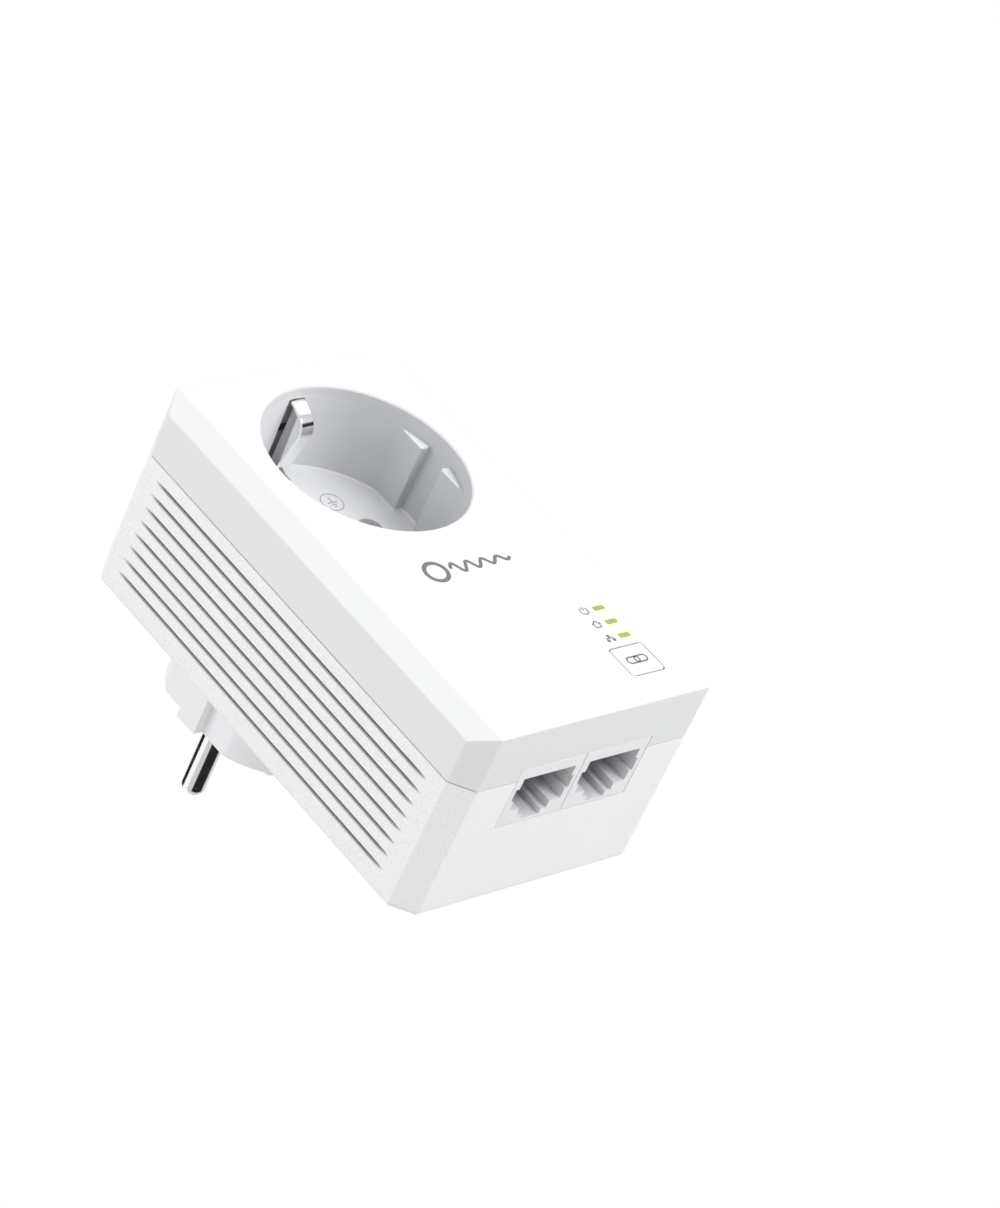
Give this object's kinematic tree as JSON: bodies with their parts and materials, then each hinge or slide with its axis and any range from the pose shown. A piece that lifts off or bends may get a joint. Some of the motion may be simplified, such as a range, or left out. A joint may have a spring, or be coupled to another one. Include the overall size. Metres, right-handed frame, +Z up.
{
  "type": "powerline adapter",
  "caption": "Plug-in powerline network adapter with a round earthed pass-through socket, network jacks in its lower end, status lamps and a pair button.",
  "frame": {"origin": "centre of the plug's end face, midway between the two pins", "axes": "+Y into the wall along the pins, +Z up along the housing's long side, +X to the right seen from the front"},
  "size_m": [0.0584, 0.078, 0.095],
  "materials": {
    "white_satin": "satin",
    "white_grained": "fine grain",
    "button_white": "satin",
    "socket_white": "satin",
    "shutter_dark": "matt",
    "inner_plastic": "matt",
    "nickel_pins": "polished",
    "nickel_strip": "polished",
    "spring_steel": "drawn",
    "contact_brass": "stamped",
    "jack_plastic": "satin",
    "gold_contacts": "plated",
    "component_black": "matt",
    "lamp_green": "lit",
    "led_resin": "clear",
    "board_green": "solder mask",
    "board_tan": "bare laminate",
    "tape_yellow": "tape",
    "screw_steel": "plated",
    "heat_sink_aluminium": "extruded",
    "ferrite": "sintered",
    "capacitor_sleeve": "shrunk sleeve",
    "capacitor_box": "moulded",
    "copper_wire": "enamelled",
    "fuse_body": "moulded",
    "varistor_blue": "dipped",
    "insulating_film": "film",
    "label_silver": "matt foil"
  },
  "bodies": {
    "root": {"front_shell": "white_satin", "rear_shell": "white_grained", "plug_body": "white_grained", "plug_pin_left": "nickel_pins", "plug_pin_right": "nickel_pins", "plug_earth_strip_top": "nickel_strip", "plug_earth_strip_bottom": "nickel_strip", "socket_well": "socket_white", "shutter_spring": "spring_steel", "contact_carrier": "inner_plastic", "live_contact": "contact_brass", "neutral_contact": "contact_brass", "earth_yoke": "contact_brass", "network_jack_left": "jack_plastic", "network_jack_right": "jack_plastic", "tact_switch": "component_black", "light_pipe": "lamp_green", "led_chip_1": "led_resin", "led_chip_2": "led_resin", "led_chip_3": "led_resin", "logic_board": "board_green", "main_chip": "component_black", "memory_chip": "component_black", "ethernet_transformer": "component_black", "coupling_transformer": "tape_yellow", "timing_crystal": "screw_steel", "heat_sink": "heat_sink_aluminium", "power_board": "board_tan", "transformer_core": "ferrite", "transformer_winding": "tape_yellow", "bulk_capacitor": "capacitor_sleeve", "x_capacitor": "capacitor_box", "mains_choke": "copper_wire", "fuse": "fuse_body", "varistor": "varistor_blue", "rectifier": "component_black", "insulating_sheet": "insulating_film", "rating_label": "label_silver", "housing_screw_top_left": "screw_steel", "housing_screw_bottom_left": "screw_steel", "housing_screw_top_right": "screw_steel", "housing_screw_bottom_right": "screw_steel", "logic_board_screw_upper": "screw_steel", "logic_board_screw_lower": "screw_steel", "power_board_screw_upper": "screw_steel", "power_board_screw_lower": "screw_steel"},
    "pair_button": {"pair_button": "button_white"},
    "tact_plunger": {"tact_plunger": "component_black"},
    "socket_shutter": {"socket_shutter": "shutter_dark"},
    "earth_clip_top": {"earth_clip_top": "nickel_strip"},
    "earth_clip_bottom": {"earth_clip_bottom": "nickel_strip"},
    "jack_contacts_left": {"jack_contacts_left": "gold_contacts"},
    "jack_contacts_right": {"jack_contacts_right": "gold_contacts"}
  },
  "joints": [
    {"name": "pair_button_press", "type": "slide", "parent": "root", "child": "pair_button", "axis": [0, 1, 0], "range_m": [0, 0.0005], "stiffness_N_per_m": 400, "springref_m": -0.0003},
    {"name": "tact_plunger_travel", "type": "slide", "parent": "root", "child": "tact_plunger", "axis": [0, 1, 0], "range_m": [0, 0.0005]},
    {"name": "shutter_turn", "type": "hinge", "parent": "root", "child": "socket_shutter", "pos_m": [0, -0.0384, 0.0015], "axis": [0, 1, 0], "range_deg": [0, 40], "stiffness_Nm_per_rad": 0.003, "springref_deg": -11.46},
    {"name": "earth_clip_top_flex", "type": "hinge", "parent": "root", "child": "earth_clip_top", "pos_m": [0, -0.0382, 0.01915], "axis": [-1, 0, 0], "range_deg": [0, 4], "stiffness_Nm_per_rad": 0.05, "springref_deg": -1.72},
    {"name": "earth_clip_bottom_flex", "type": "hinge", "parent": "root", "child": "earth_clip_bottom", "pos_m": [0, -0.0382, -0.01615], "axis": [1, 0, 0], "range_deg": [0, 4], "stiffness_Nm_per_rad": 0.05, "springref_deg": -1.72},
    {"name": "jack_contacts_left_flex", "type": "hinge", "parent": "root", "child": "jack_contacts_left", "pos_m": [-0.00797, -0.0477, -0.0557], "axis": [-1, 0, 0], "range_deg": [0, 12], "stiffness_Nm_per_rad": 0.01, "springref_deg": -2.86},
    {"name": "jack_contacts_right_flex", "type": "hinge", "parent": "root", "child": "jack_contacts_right", "pos_m": [0.00797, -0.0477, -0.0557], "axis": [-1, 0, 0], "range_deg": [0, 12], "stiffness_Nm_per_rad": 0.01, "springref_deg": -2.86}
  ],
  "couplings": [
    {"joint": "tact_plunger_travel", "follows": "pair_button_press", "ratio": 1}
  ]
}
